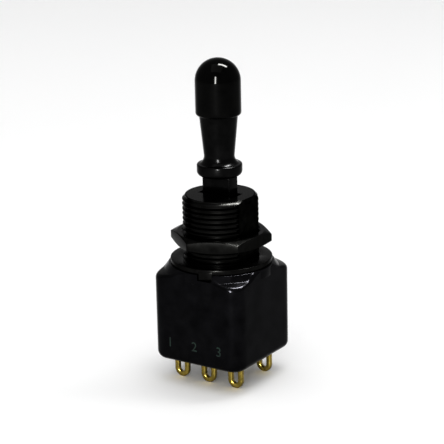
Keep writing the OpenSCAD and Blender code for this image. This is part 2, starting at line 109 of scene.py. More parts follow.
def angle(name, text, default):
    """An angle that a user may change."""
    return bpy.props.FloatProperty(name=name, description=text, default=radians(default), subtype="ANGLE")


def colour(name, text, default):
    """A colour that a user may change."""
    return bpy.props.FloatVectorProperty(
        name=name, description=text, default=default, size=3, min=0.0, max=1.0, subtype="COLOR"
    )


class BushingSettings(bpy.types.PropertyGroup):
    crest_radius: size("Crest radius", "Radius of the thread over its crests", 5.953 * MM)
    root_radius: size("Root radius", "Radius of the thread in its roots", 5.466 * MM)
    pitch: size("Pitch", "Height of one turn of the thread", 0.794 * MM)
    thread_start: size("Thread start", "Depth below the seat of the thread's lowest crest over +X", 2.124 * MM)
    chamfer: size("Chamfer", "Chamfer round the top of the bushing", 0.5 * MM)
    flat_distance: size("Flat distance", "Distance from the axis to the flat", 5.25 * MM)
    gate_length: size("Gate length", "Length of the gate along the throw", 6.626 * MM)
    gate_width: size("Gate width", "Width of the gate", 2.6 * MM)
    gate_depth: size("Gate depth", "Thickness of the wall with the gate", 0.7 * MM)
    chamber_radius: size("Chamber radius", "Radius of the chamber round the ball", 3.3 * MM)
    mouth_radius: size("Mouth radius", "Radius of the wide lower mouth", 4.4 * MM)
    mouth_top: size("Mouth top", "Height of the top of the lower mouth", 1.0 * MM)
    flange_thickness: size("Flange thickness", "Thickness of the flange inside the housing", 0.8 * MM)
    pin_slot_width: size("Pin slot width", "Width of the grooves that take the cross pin", 1.3 * MM)
    pin_slot_reach: size("Pin slot reach", "Distance from the axis to the end of a groove", 4.1 * MM)
    pin_slot_top: size("Pin slot top", "Height of the top of the grooves", 7.95 * MM)


class HardwareSettings(bpy.types.PropertyGroup):
    nut_flats: size("Nut width", "Size of the nut across its flats", 14.0 * MM)
    nut_turn: angle("Nut angle", "Angle to which the nut is turned", 22.3)
    nut_bevel: angle("Nut bevel", "Slope of the bevel on the nut's corners", 20.0)
    nut_bore: size("Nut bore", "Radius of the nut's bore", 5.973 * MM)
    edge_round: size("Edge rounding", "Rounding of the edges of nut and ring", 0.09 * MM)
    ring_bore: size("Ring bore", "Radius of the locking ring's bore", 6.003 * MM)
    tab_width: size("Tab width", "Width of the ring's bent tab", 2.2 * MM)
    tab_thickness: size("Tab thickness", "Thickness of the ring's bent tab", 0.5 * MM)
    tab_angle: angle("Tab angle", "Angle of the tab round the bushing", -75.0)


class HousingSettings(bpy.types.PropertyGroup):
    half_width: size("Half width", "Half the width of the square housing", 8.15 * MM)
    corner_radius: size("Corner radius", "Radius of the upright corners", 2.4 * MM)
    bottom_radius: size("Bottom radius", "Rounding of the bottom edges", 1.2 * MM)
    top_radius: size("Top radius", "Rounding of the top edges", 0.3 * MM)
    boss_height: size("Boss height", "Height of the round boss", 1.45 * MM)
    boss_reach: size("Boss reach", "Distance by which the boss stands out past the faces", 0.12 * MM)
    boss_drop: size("Boss drop", "Distance that the boss reaches down the faces", 0.15 * MM)
    flare_run: size("Flare run", "Width of the steep part of the flare around the boss", 0.65 * MM)
    flare_top: angle("Flare top", "Slope of the flare's steep part", 53.0)
    flare: size("Flare", "Radius of the hollow between the flare's steep part and the corners", 0.15 * MM)
    flare_foot: angle("Flare foot", "Slope of the flare towards the corners", 20.0)
    corner_round: size("Corner rounding", "Rounding of the top edge at the corners", 0.55 * MM)
    boss_step: size("Boss step", "Width and height of the step between the boss and its flare", 0.1 * MM)
    wall: size("Wall", "Thickness of the side walls", 1.4 * MM)
    roof: size("Roof", "Thickness of the top wall under the boss", 0.75 * MM)


class TerminalSettings(bpy.types.PropertyGroup):
    pitch: size("Pitch", "Spacing of the lugs in a row", 5.05 * MM)
    row_pitch: size("Row pitch", "Spacing of the two rows", 8.3 * MM)
    lug_width: size("Lug width", "Width over both strands of a lug", 2.7 * MM)
    strand_width: size("Strand width", "Width of one strand of a lug", 0.85 * MM)
    strand_thickness: size("Strand thickness", "Thickness of a strand", 0.8 * MM)
    strand_round: size("Strand rounding", "Rounding of a strand's edges", 0.26 * MM)


class MarkingSettings(bpy.types.PropertyGroup):
    height: size("Number height", "Height of the printed numbers", 2.2 * MM)
    base_height: size("Number place", "Height of the numbers above the housing's bottom", 2.6 * MM)
    ink: size("Ink", "Thickness of the ink on each side of the face", 0.012 * MM)
    spread: bpy.props.FloatProperty(
        name="Spread", description="Spacing of the numbers as a share of the terminals' spacing", default=0.9, min=0.1)


class HandleSettings(bpy.types.PropertyGroup):
    waist_radius: size("Waist radius", "Radius of the shank's waist", 2.37 * MM)
    waist_height: size("Waist height", "Height of the waist", 16.2 * MM)
    shank_radius: size("Shank radius", "Radius of the shank at the cap", 3.0 * MM)
    flare: size("Flare", "Radius of the flare between waist and collar", 1.35 * MM)
    collar_low: size("Collar underside", "Height of the collar's underside", 13.05 * MM)
    collar_high: size("Collar top", "Height of the collar's top", 15.0 * MM)
    collar_round: size("Collar rounding", "Rounding of the collar's lower edge", 0.8 * MM)
    foot_width: size("Foot width", "Width of the locking foot", 2.4 * MM)
    foot_length: size("Foot length", "Length of the locking foot", 5.1 * MM)
    foot_round: size("Foot rounding", "Rounding of the foot's upright edges", 0.22 * MM)
    bore: size("Bore", "Radius of the hole for the guide rod", 0.8 * MM)
    chamber: size("Chamber", "Radius of the spring chamber", 1.5 * MM)
    chamber_floor: size("Chamber floor", "Height of the chamber's floor", 15.02 * MM)
    neck_radius: size("Neck radius", "Radius of the neck inside the cap", 2.4 * MM)
    cap_edge: size("Cap edge", "Rounding of the cap's lower edge", 0.5 * MM)


class FinishSettings(bpy.types.PropertyGroup):
    housing: colour("Housing", "Moulded black of the housing", (0.0032, 0.0032, 0.0036))
    bushing: colour("Bushing", "Plated black of the bushing", (0.0034, 0.0034, 0.0032))
    hardware: colour("Nut and ring", "Plated black of the nut and ring", (0.0034, 0.0034, 0.0032))
    handle: colour("Handle", "Plated black of the handle", (0.0030, 0.0030, 0.0030))
    cap: colour("Cap", "Glossy black of the cap", (0.0025, 0.0025, 0.0024))
    gold: colour("Gold", "Gold plating of the lugs", (0.17, 0.125, 0.024))
    print_ink: colour("Marking", "Dark green of the terminal numbers", (0.004, 0.018, 0.012))


class StageSettings(bpy.types.PropertyGroup):
    floor: colour("Floor", "Colour of the floor", (0.93, 0.93, 0.93))
    sky: colour("Sky", "Light of the room all round", (0.72, 0.72, 0.72))
    yaw: angle("Camera yaw", "Turn of the camera round the object", 33.787)
    elevation: angle("Camera elevation", "Height of the camera above the horizon", 16.793)
    roll: angle("Camera roll", "Roll of the camera", -1.207)
    distance: size("Camera distance", "Distance from the camera to its target", 279.97 * MM)
    target_height: size("Target height", "Height of the camera's target on the axis", 5.82 * MM)
    shift_right: size("Move right", "Step of the camera to its right", 0.205 * MM)
    shift_down: size("Move down", "Step of the camera downwards", 0.403 * MM)
    focal_length: bpy.props.FloatProperty(
        name="Focal length", description="Focal length on a 36 mm sensor, in millimetres", default=145.43, min=1.0
    )


# ---------------------------------------------------------------- mesh tools


def new_object(name, data):
    """Puts a mesh, lamp or camera in the scene as an object."""
    obj = bpy.data.objects.new(name, data)
    bpy.context.scene.collection.objects.link(obj)
    return obj


def discard(obj):
    """Removes an object with its mesh."""
    mesh = obj.data
    bpy.data.objects.remove(obj)
    bpy.data.meshes.remove(mesh)


def polar(radius, turn, height):
    """A point at a radius, an angle about Z and a height."""
    return (radius * cos(turn), radius * sin(turn), height)


def object_from_bmesh(name, bm):
    """Closes a bmesh into an object with its faces outwards."""
    bmesh.ops.remove_doubles(bm, verts=bm.verts, dist=1e-7)
    bmesh.ops.recalc_face_normals(bm, faces=bm.faces)
    mesh = bpy.data.meshes.new(name)
    bm.to_mesh(mesh)
    bm.free()
    return new_object(name, mesh)


def join_rings(bm, rings, closed):
    """Bridges rings of equal count with quads. A ring of one vertex is a pole."""
    pairs = list(zip(rings, rings[1:]))
    if closed:
        pairs.append((rings[-1], rings[0]))
    for low, high in pairs:
        count = max(len(low), len(high))
        for i in range(count):
            j = (i + 1) % count
            corners = [low[i % len(low)], low[j % len(low)], high[j % len(high)], high[i % len(high)]]
            face = list(dict.fromkeys(corners))
            if len(face) > 2:
                bm.faces.new(face)


def lathe(name, profile, steps=160, closed=False):
    """Turns a profile of (radius, height) about the Z axis."""
    bm = bmesh.new()
    rings = []
    for radius, height in profile:
        if radius < 1e-8:
            rings.append([bm.verts.new((0.0, 0.0, height))])
            continue
        rings.append([bm.verts.new(polar(radius, 2 * pi * i / steps, height)) for i in range(steps)])
    join_rings(bm, rings, closed)
    return object_from_bmesh(name, bm)


def arc(centre, radius, start, end, steps):
    """Points of an arc in the (radius, height) plane, angles in degrees."""
    return [
        (centre[0] + radius * cos(radians(start + (end - start) * i / steps)),
         centre[1] + radius * sin(radians(start + (end - start) * i / steps)))
        for i in range(steps + 1)
    ]


def block(name, low, high):
    """A box between two corners, for cutting."""
    bm = bmesh.new()
    bmesh.ops.create_cube(bm, size=1.0)
    for v in bm.verts:
        v.co = Vector([low[k] + (v.co[k] + 0.5) * (high[k] - low[k]) for k in range(3)])
    return object_from_bmesh(name, bm)


def bake(obj):
    """Applies an object's modifiers."""
    depsgraph = bpy.context.evaluated_depsgraph_get()
    mesh = bpy.data.meshes.new_from_object(
        obj.evaluated_get(depsgraph), preserve_all_data_layers=True, depsgraph=depsgraph)
    old = obj.data
    obj.modifiers.clear()
    obj.data = mesh
    mesh.name = obj.name
    bpy.data.meshes.remove(old)


def cut(obj, other, operation="DIFFERENCE"):
    """Combines an object with another one, which is used up."""
    modifier = obj.modifiers.new(operation.title(), "BOOLEAN")
    modifier.operation = operation
    modifier.solver = "EXACT"
    modifier.object = other
    bake(obj)
    discard(other)


def trim(obj, point, normal):
    """Cuts off the side of a mesh that a normal points to, and closes the cut."""
    bm = bmesh.new()
    bm.from_mesh(obj.data)
    bmesh.ops.remove_doubles(bm, verts=bm.verts, dist=1e-7)
    made = bmesh.ops.bisect_plane(
        bm, geom=bm.verts[:] + bm.edges[:] + bm.faces[:], plane_co=point, plane_no=normal, clear_outer=True)
    edges = [e for e in made["geom_cut"] if isinstance(e, bmesh.types.BMEdge)]
    bmesh.ops.holes_fill(bm, edges=edges, sides=0)
    bmesh.ops.recalc_face_normals(bm, faces=bm.faces)
    bm.to_mesh(obj.data)
    bm.free()


def round_edges(obj, width, over=35.0, segments=3):
    """Rounds every edge sharper than an angle."""
    modifier = obj.modifiers.new("Rounding", "BEVEL")
    modifier.width = width
    modifier.segments = segments
    modifier.limit_method = "ANGLE"
    modifier.angle_limit = radians(over)
    modifier.use_clamp_overlap = True
    modifier.miter_outer = "MITER_ARC"
    bake(obj)


def shade(obj, over=30.0):
    """Shades an object smooth, with the edges over an angle kept sharp."""
    obj.data.shade_smooth()
    obj.data.set_sharp_from_angle(angle=radians(over))


def join(obj, *others):
    """Adds the meshes of other objects to an object, as shells of their own."""
    bm = bmesh.new()
    bm.from_mesh(obj.data)
    for other in others:
        bm.from_mesh(other.data)
        discard(other)
    bm.to_mesh(obj.data)
    bm.free()


def finish_piece(obj, body, material, nodes):
    """Gives a piece its material and its body, and hides the CAD nodes that it stands for."""
    obj.data.materials.clear()
    obj.data.materials.append(material)
    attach(obj, body)
    if nodes:
        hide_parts(*nodes)


def outline(half, radius, corner_steps=14, side_steps=10):
    """Points of a square with rounded corners, anticlockwise from the middle of its +X side."""
    flat = half - radius
    points = []
    for quarter in range(4):
        turn = quarter * pi / 2
        local = [(half, flat * i / side_steps) for i in range(side_steps)]
        bends = [pi / 2 * i / corner_steps for i in range(corner_steps)]
        local += [(flat + radius * cos(bend), flat + radius * sin(bend)) for bend in bends]
        local += [(flat * (1 - i / side_steps), half) for i in range(side_steps)]
        points += [(x * cos(turn) - y * sin(turn), x * sin(turn) + y * cos(turn)) for x, y in local]
    return points


# ---------------------------------------------------------------- geometry node tools


def node_tree(name, inputs):
    """An empty geometry node tree with named inputs, and its input and output nodes."""
    kinds = {float: "NodeSocketFloat", int: "NodeSocketInt"}
    tree = bpy.data.node_groups.new(name, "GeometryNodeTree")
    for label, default in {**inputs, "Material": None}.items():
        kind = kinds.get(type(default), "NodeSocketMaterial")
        socket = tree.interface.new_socket(label, in_out="INPUT", socket_type=kind)
        if default is not None:
            socket.default_value = default
    tree.interface.new_socket("Geometry", in_out="OUTPUT", socket_type="NodeSocketGeometry")
    return tree, tree.nodes.new("NodeGroupInput"), tree.nodes.new("NodeGroupOutput")


def end_tree(tree, given, made, geometry):
    """Makes the geometry real, gives it its material and hands it out."""
    real = tree.nodes.new("GeometryNodeRealizeInstances")
    tree.links.new(geometry, real.inputs["Geometry"])
    paint = tree.nodes.new("GeometryNodeSetMaterial")
    tree.links.new(real.outputs["Geometry"], paint.inputs["Geometry"])
    tree.links.new(given.outputs["Material"], paint.inputs["Material"])
    tree.links.new(paint.outputs["Geometry"], made.inputs["Geometry"])


def feed(tree, node, values):
    """Feeds a node's inputs in order, each from a socket or a number."""
    for socket, value in zip(node.inputs, values):
        if hasattr(value, "is_output"):
            tree.links.new(value, socket)
        else:
            socket.default_value = value
    return node.outputs[0]


def maths(tree, operation, a, b):
    """A Math node with two inputs, each a socket or a number."""
    node = tree.nodes.new("ShaderNodeMath")
    node.operation = operation
    return feed(tree, node, (a, b))


def vector(tree, x=0.0, y=0.0, z=0.0):
    """A Combine XYZ node, each input a socket or a number."""
    return feed(tree, tree.nodes.new("ShaderNodeCombineXYZ"), (x, y, z))


def run_tree(name, tree, values):
    """Runs a tree on an empty object and returns the plain mesh that it makes as an object."""
    obj = new_object(name, bpy.data.meshes.new(name))
    modifier = obj.modifiers.new(tree.name, "NODES")
    modifier.node_group = tree
    for item in tree.interface.items_tree:
        if item.in_out == "INPUT" and item.name in values:
            modifier[item.identifier] = values[item.name]
    bake(obj)
    bpy.data.node_groups.remove(tree)
    return obj


def thread_ridge_tree():
    """The ridge of a screw thread: its section swept along a helix."""
    tree, given, made = node_tree(
        "Thread ridge",
        {"Root radius": 5.466 * MM, "Crest radius": 5.953 * MM, "Pitch": 0.794 * MM, "Turns": 13.0,
         "Start height": 0.0, "Points in a turn": 96},
    )
    new, link, take = tree.nodes.new, tree.links.new, given.outputs
    root, crest, pitch = take["Root radius"], take["Crest radius"], take["Pitch"]
    spiral = new("GeometryNodeCurveSpiral")
    spiral.inputs["Reverse"].default_value = True
    link(take["Points in a turn"], spiral.inputs["Resolution"])
    link(take["Turns"], spiral.inputs["Rotations"])
    link(root, spiral.inputs["Start Radius"])
    link(root, spiral.inputs["End Radius"])
    link(maths(tree, "MULTIPLY", pitch, take["Turns"]), spiral.inputs["Height"])
    upright = new("GeometryNodeSetCurveNormal")
    upright.mode = "Z_UP"
    link(spiral.outputs["Curve"], upright.inputs["Curve"])
    depth = maths(tree, "SUBTRACT", crest, root)
    half_crest = maths(tree, "DIVIDE", pitch, 16.0)
    half_root = maths(tree, "ADD", half_crest, maths(tree, "MULTIPLY", depth, tan(radians(30.0))))
    inside = maths(tree, "MULTIPLY", pitch, -0.2)
    section = new("GeometryNodeCurvePrimitiveQuadrilateral")
    section.mode = "POINTS"
    link(vector(tree, inside, maths(tree, "MULTIPLY", half_root, -1.0)), section.inputs["Point 1"])
    link(vector(tree, depth, maths(tree, "MULTIPLY", half_crest, -1.0)), section.inputs["Point 2"])
    link(vector(tree, depth, half_crest), section.inputs["Point 3"])
    link(vector(tree, inside, half_root), section.inputs["Point 4"])
    sweep = new("GeometryNodeCurveToMesh")
    sweep.inputs["Fill Caps"].default_value = True
    link(upright.outputs["Curve"], sweep.inputs["Curve"])
    link(section.outputs["Curve"], sweep.inputs["Profile Curve"])
    place = new("GeometryNodeTransform")
    link(sweep.outputs["Mesh"], place.inputs["Geometry"])
    link(vector(tree, 0.0, 0.0, take["Start height"]), place.inputs["Translation"])
    end_tree(tree, given, made, place.outputs["Geometry"])
    return tree


def solder_lug_tree():
    """Six loops of plated strip, each swept along a U and set out on the terminals' grid."""
    tree, given, made = node_tree(
        "Solder lugs",
        {"Pitch": 5.05 * MM, "Row pitch": 8.3 * MM, "Lug width": 2.7 * MM, "Strand width": 0.85 * MM,
         "Strand thickness": 0.8 * MM, "Strand rounding": 0.26 * MM, "Top height": -14.0 * MM,
         "Tip height": -19.9 * MM},
    )
    new, link, take = tree.nodes.new, tree.links.new, given.outputs
    outer = maths(tree, "DIVIDE", take["Lug width"], 2.0)
    reach = maths(tree, "SUBTRACT", outer, maths(tree, "DIVIDE", take["Strand width"], 2.0))
    bend = maths(tree, "ADD", take["Tip height"], outer)
    left = maths(tree, "MULTIPLY", reach, -1.0)
    top = take["Top height"]
    first = new("GeometryNodeCurvePrimitiveLine")
    link(vector(tree, left, 0.0, top), first.inputs["Start"])
    link(vector(tree, left, 0.0, bend), first.inputs["End"])
    bow = new("GeometryNodeCurveArc")
    bow.mode = "POINTS"
    bow.inputs["Resolution"].default_value = 33
    link(vector(tree, left, 0.0, bend), bow.inputs["Start"])
    link(vector(tree, 0.0, 0.0, maths(tree, "SUBTRACT", bend, reach)), bow.inputs["Middle"])
    link(vector(tree, reach, 0.0, bend), bow.inputs["End"])
    last = new("GeometryNodeCurvePrimitiveLine")
    link(vector(tree, reach, 0.0, bend), last.inputs["Start"])
    link(vector(tree, reach, 0.0, top), last.inputs["End"])
    whole = new("GeometryNodeJoinGeometry")
    for curve in (last.outputs["Curve"], bow.outputs["Curve"], first.outputs["Curve"]):
        link(curve, whole.inputs["Geometry"])
    strip = new("GeometryNodeCurvePrimitiveQuadrilateral")
    strip.mode = "RECTANGLE"
    link(take["Strand thickness"], strip.inputs["Width"])
    link(take["Strand width"], strip.inputs["Height"])
    soft = new("GeometryNodeFilletCurve")
    soft.mode = "POLY"
    soft.inputs["Count"].default_value = 5
    link(strip.outputs["Curve"], soft.inputs["Curve"])
    link(take["Strand rounding"], soft.inputs["Radius"])
    upright = new("GeometryNodeSetCurveNormal")
    upright.mode = "FREE"
    upright.inputs["Normal"].default_value = (0.0, 1.0, 0.0)
    link(whole.outputs["Geometry"], upright.inputs["Curve"])
    sweep = new("GeometryNodeCurveToMesh")
    sweep.inputs["Fill Caps"].default_value = True
    link(upright.outputs["Curve"], sweep.inputs["Curve"])
    link(soft.outputs["Curve"], sweep.inputs["Profile Curve"])
    weld = new("GeometryNodeMergeByDistance")
    weld.inputs["Distance"].default_value = 1e-7
    link(sweep.outputs["Mesh"], weld.inputs["Geometry"])
    grid = new("GeometryNodeMeshGrid")
    grid.inputs["Vertices X"].default_value = 3
    grid.inputs["Vertices Y"].default_value = 2
    link(maths(tree, "MULTIPLY", take["Pitch"], 2.0), grid.inputs["Size X"])
    link(take["Row pitch"], grid.inputs["Size Y"])
    place = new("GeometryNodeInstanceOnPoints")
    link(grid.outputs["Mesh"], place.inputs["Points"])
    link(weld.outputs["Geometry"], place.inputs["Instance"])
    end_tree(tree, given, made, place.outputs["Instances"])
    return tree


# ---------------------------------------------------------------- materials


def noise(nodes, links, coordinates, scale, detail=2.0, stretch=None):
    """A noise texture on the object's coordinates, stretched if asked."""
    texture = nodes.new("ShaderNodeTexNoise")
    texture.inputs["Scale"].default_value = scale
    texture.inputs["Detail"].default_value = detail
    source = coordinates
    if stretch:
        mapping = nodes.new("ShaderNodeMapping")
        mapping.inputs["Scale"].default_value = stretch
        links.new(coordinates, mapping.inputs["Vector"])
        source = mapping.outputs["Vector"]
    links.new(source, texture.inputs["Vector"])
    return texture.outputs["Fac"]


def spread(nodes, links, value, low, high):
    """Maps a noise value to a range."""
    node = nodes.new("ShaderNodeMapRange")
    node.inputs["From Min"].default_value = 0.3
    node.inputs["From Max"].default_value = 0.7
    node.inputs["To Min"].default_value = low
    node.inputs["To Max"].default_value = high
    links.new(value, node.inputs["Value"])
    return node.outputs["Result"]


def surface(name, base, roughness, metallic=0.0, specular=0.5, edge=1.0, grain=4000.0, relief=1.0e-6, patch=300.0,
            tint=0.35, stretch=None):
    """A procedural finish: grain in the relief, patches in the gloss and a slight drift of the colour."""
    material = bpy.data.materials.new(name)
    material.use_nodes = True
    nodes, links = material.node_tree.nodes, material.node_tree.links
    shader = nodes["Principled BSDF"]
    shader.inputs["Metallic"].default_value = metallic
    shader.inputs["Specular IOR Level"].default_value = specular
    shader.inputs["Specular Tint"].default_value = (edge, edge, edge, 1.0)
    place = nodes.new("ShaderNodeTexCoord").outputs["Object"]
    patches = noise(nodes, links, place, patch, 3.0)
    links.new(spread(nodes, links, patches, roughness[0], roughness[1]), shader.inputs["Roughness"])
    drift = nodes.new("ShaderNodeMix")
    drift.data_type = "RGBA"
    drift.inputs["A"].default_value = (*[c * (1 - tint) for c in base], 1.0)
    drift.inputs["B"].default_value = (*[min(1.0, c * (1 + tint)) for c in base], 1.0)
    links.new(spread(nodes, links, noise(nodes, links, place, patch * 1.7, 4.0), 0.0, 1.0), drift.inputs["Factor"])
    links.new(drift.outputs["Result"], shader.inputs["Base Color"])
    bump = nodes.new("ShaderNodeBump")
    bump.inputs["Strength"].default_value = 1.0
    bump.inputs["Distance"].default_value = relief
    links.new(noise(nodes, links, place, grain, 2.0, stretch), bump.inputs["Height"])
    links.new(bump.outputs["Normal"], shader.inputs["Normal"])
    return material


def lacquer(name, base, roughness, edge=0.56, **grain):
    """A deep black finish that mirrors little straight on and hardly more at a slant."""
    return surface(name, base, roughness, metallic=1.0, edge=edge, **grain)


def metal(name, base, roughness, **grain):
    """Bare or plated metal."""
    return surface(name, base, roughness, metallic=1.0, **grain)


def finishes():
    """Every finish of the switch, by the record's slot."""
    paint = bpy.context.scene.switch_finishes
    return {
        "housing_black": lacquer("moulded_black", paint.housing, (0.15, 0.21), grain=2600.0, relief=0.8e-6,
                                 patch=260.0),
        "bushing_black": lacquer("plated_black", paint.bushing, (0.19, 0.27), edge=0.46, grain=5200.0, relief=0.8e-6,
                                 patch=500.0),
        "nut_black": lacquer("plated_hardware_black", paint.hardware, (0.18, 0.26), edge=0.5, grain=5200.0,
                             relief=1.0e-6, patch=450.0),
        "handle_black": lacquer("plated_handle_black", paint.handle, (0.16, 0.24), grain=5200.0, relief=0.6e-6,
                                patch=400.0),
        "cap_black": lacquer("glossy_cap_black", paint.cap, (0.06, 0.10), grain=1500.0, relief=0.2e-6, patch=200.0),
        "terminal_gold": metal("gold_plating", paint.gold, (0.22, 0.38), grain=3600.0, relief=3.0e-6, patch=900.0,
                               tint=0.30),
        "rubber_black": surface("moulded_rubber", (0.012, 0.012, 0.012), (0.55, 0.7), specular=0.3, relief=2.0e-6),
        "base_black": surface("potting_black", (0.010, 0.010, 0.011), (0.35, 0.6), specular=0.3, grain=900.0,
                              relief=14.0e-6, patch=350.0),
        "contact_alloy": metal("contact_alloy", (0.72, 0.58, 0.33), (0.2, 0.32)),
        "lever_steel": metal("turned_steel", (0.55, 0.55, 0.57), (0.2, 0.3), stretch=(1.0, 1.0, 9.0)),
        "retainer_plastic": surface("natural_plastic", (0.62, 0.58, 0.46), (0.4, 0.5), relief=1.5e-6, tint=0.08),
        "carriage_plastic": surface("carriage_plastic", (0.60, 0.55, 0.42), (0.4, 0.5), relief=1.5e-6, tint=0.08),
        "spring_steel": metal("spring_steel", (0.62, 0.62, 0.64), (0.2, 0.28), relief=0.5e-6),
        "print_ink": surface("marking_ink", paint.print_ink, (0.4, 0.5), specular=0.1, grain=6000.0, tint=0.5),
    }


# ---------------------------------------------------------------- pieces


class SWITCH_OT_cad_finishes(bpy.types.Operator):
    """Makes the finishes and gives each CAD node that stays the finish of its slot"""

    bl_idname = "switch.cad_finishes"
    bl_label = "Finishes"

    def execute(self, context):
        FINISH.clear()
        FINISH.update(finishes())
        slots = {part["node"]: part["material_slot"] for part in frame["record"]["subparts"]}
        for name, obj in frame["nodes"].items():
            material = FINISH[slots[name]]
            if not obj.material_slots:
                raise RuntimeError(name + " has no material slot")
            for slot in obj.material_slots:
                slot.material = material
        for name, joint in SPRING_JOINTS.items():
            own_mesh(frame["nodes"][name])
        return {"FINISHED"}


class SWITCH_OT_bushing(bpy.types.Operator):
    """Turns the threaded bushing with its flat, chamfer and gate"""

    bl_idname = "switch.bushing"
    bl_label = "Threaded bushing"

    def execute(self, context):
        s = context.scene.switch_bushing
        bottom, top = BUSHING_LOW.z, BUSHING_HIGH.z
        flange = BUSHING_HIGH.y
        over = 1.0 * MM
        start = RING_LOW.z
        ridge_drop = 0.03 * MM
        steps = 192
        blend = 0.002
        edge = acos(s.flat_distance / (s.crest_radius - ridge_drop))
        turns = sorted([2 * pi * i / steps - pi for i in range(steps)] + [-edge - blend, -edge, edge, edge + blend])

        def core_radius(turn):
            """Radius of the core: the flat's face within its edges, and the thread's root outside them."""
            return s.flat_distance / cos(turn) if abs(turn) < edge + blend / 2 else s.root_radius

        rim = s.crest_radius - s.chamfer
        levels = [
            lambda t: (flange, bottom), lambda t: (flange, bottom + s.flange_thickness),
            lambda t: (s.root_radius, bottom + s.flange_thickness), lambda t: (s.root_radius, start),
            lambda t: (core_radius(t), start), lambda t: (core_radius(t), top - max(0.0, core_radius(t) - rim)),
            lambda t: (min(core_radius(t), rim), top)]
        bm = bmesh.new()
        rings = [[bm.verts.new((0, 0, bottom))]]
        for level in levels:
            rings.append([bm.verts.new(polar(r, t, z)) for t in turns for r, z in [level(t)]])
        rings.append([bm.verts.new((0, 0, top))])
        join_rings(bm, rings, False)
        core = object_from_bmesh("bushing_shell", bm)
        cut(core, lathe("chamber_cutter", [
            (0, bottom - over), (s.mouth_radius, bottom - over), (s.mouth_radius, s.mouth_top),
            (s.chamber_radius, s.mouth_top), (s.chamber_radius, top - s.gate_depth), (0, top - s.gate_depth)],
            steps=96))
        cut(core, block("pin_slot_cutter", (-s.pin_slot_width / 2, -s.pin_slot_reach, s.mouth_top - over),
                        (s.pin_slot_width / 2, s.pin_slot_reach, s.pin_slot_top)))
        cut(core, block("gate_cutter", (-s.gate_length / 2, -s.gate_width / 2, top - s.gate_depth - over),
                        (s.gate_length / 2, s.gate_width / 2, top + over)))
        ridge = run_tree("thread_ridge", thread_ridge_tree(), {
            "Root radius": s.root_radius, "Crest radius": s.crest_radius, "Pitch": s.pitch,
            "Turns": (top + s.thread_start) / s.pitch + 1.0, "Start height": -s.thread_start,
            "Points in a turn": 128, "Material": FINISH["bushing_black"]})
        trim(ridge, (s.flat_distance - ridge_drop, 0, 0), (1, 0, 0))
        cut(ridge, lathe("chamfer_cutter", [
            (0, bottom), (s.crest_radius + over, bottom), (s.crest_radius + over, top - s.chamfer - over),
            (s.crest_radius - s.chamfer, top), (0, top)], steps=256), "INTERSECT")
        join(core, ridge)
        shade(core, 28.0)
        finish_piece(core, CASE, FINISH["bushing_black"], ["bushing"])
        return {"FINISHED"}


class SWITCH_OT_nut(bpy.types.Operator):
    """Makes the hexagon nut with its bevelled corners and rounded edges"""

    bl_idname = "switch.nut"
    bl_label = "Panel nut"

    def execute(self, context):
        s = context.scene.switch_hardware
        low, high = NUT_LOW.z, NUT_HIGH.z
        steps = 360
        flats = s.nut_flats / 2
        rim = flats - 0.15 * MM
        lead = 0.25 * MM
        bm = bmesh.new()
        rings = [[] for _ in range(8)]
        for i in range(steps):
            turn = radians(i) + s.nut_turn
            inside = (radians(i) + pi / 6) % (pi / 3) - pi / 6
            reach = flats / cos(pi / 6 - abs(inside))
            fall = (reach - rim) * tan(s.nut_bevel)
            for ring, (radius, height) in zip(rings, [
                    (s.nut_bore, low + lead), (s.nut_bore + lead, low), (rim, low), (reach, low + fall),
                    (reach, high - fall), (rim, high), (s.nut_bore + lead, high), (s.nut_bore, high - lead)]):
                ring.append(bm.verts.new(polar(radius, turn, height)))
        join_rings(bm, rings, True)
        nut = object_from_bmesh("hex_nut", bm)
        round_edges(nut, s.edge_round, over=50.0)
        shade(nut, 15.0)
        finish_piece(nut, NUT, FINISH["nut_black"], ["panel_nut"])
        return {"FINISHED"}


class SWITCH_OT_locking_ring(bpy.types.Operator):
    """Makes the keyed locking ring with its bent tab"""

    bl_idname = "switch.locking_ring"
    bl_label = "Locking ring"

    def execute(self, context):
        s = context.scene.switch_hardware
        flat = context.scene.switch_bushing.flat_distance + 0.05 * MM
        top = RING_HIGH.z
        tab_low = RING_LOW.z
        thickness = 0.8 * MM
        low = top - thickness
        outer = RING_HIGH.x
        steps = 256
        bm = bmesh.new()
        rings = [[] for _ in range(4)]
        for i in range(steps):
            turn = 2 * pi * i / steps
            bore = min(s.ring_bore, flat / cos(turn)) if cos(turn) > 0.5 else s.ring_bore
            for ring, (radius, height) in zip(rings, [(bore, low), (outer, low), (outer, top), (bore, top)]):
                ring.append(bm.verts.new(polar(radius, turn, height)))
        join_rings(bm, rings, True)
        ring = object_from_bmesh("keyed_ring", bm)
        round_edges(ring, s.edge_round * 1.2, over=50.0)
        bm = bmesh.new()
        bend = 0.35 * MM
        tab_top = top - 0.15 * MM
        section = [(outer - s.tab_thickness, tab_top), (outer - bend, tab_top)]
        section += arc((outer - bend, tab_top - bend), bend, 90, 0, 5)[1:]
        section += [(outer, tab_low), (outer - s.tab_thickness, tab_low)]
        sides = []
        for side in (-0.5, 0.5):
            sides.append([
                bm.verts.new((r * cos(s.tab_angle) - side * s.tab_width * sin(s.tab_angle),
                              r * sin(s.tab_angle) + side * s.tab_width * cos(s.tab_angle), h)) for r, h in section])
        join_rings(bm, sides, False)
        bm.faces.new(sides[0])
        bm.faces.new(sides[1])
        tab = object_from_bmesh("ring_tab", bm)
        round_edges(tab, s.edge_round * 0.8, over=60.0)
        join(ring, tab)
        shade(ring, 25.0)
        finish_piece(ring, CASE, FINISH["nut_black"], ["locking_ring"])
        return {"FINISHED"}


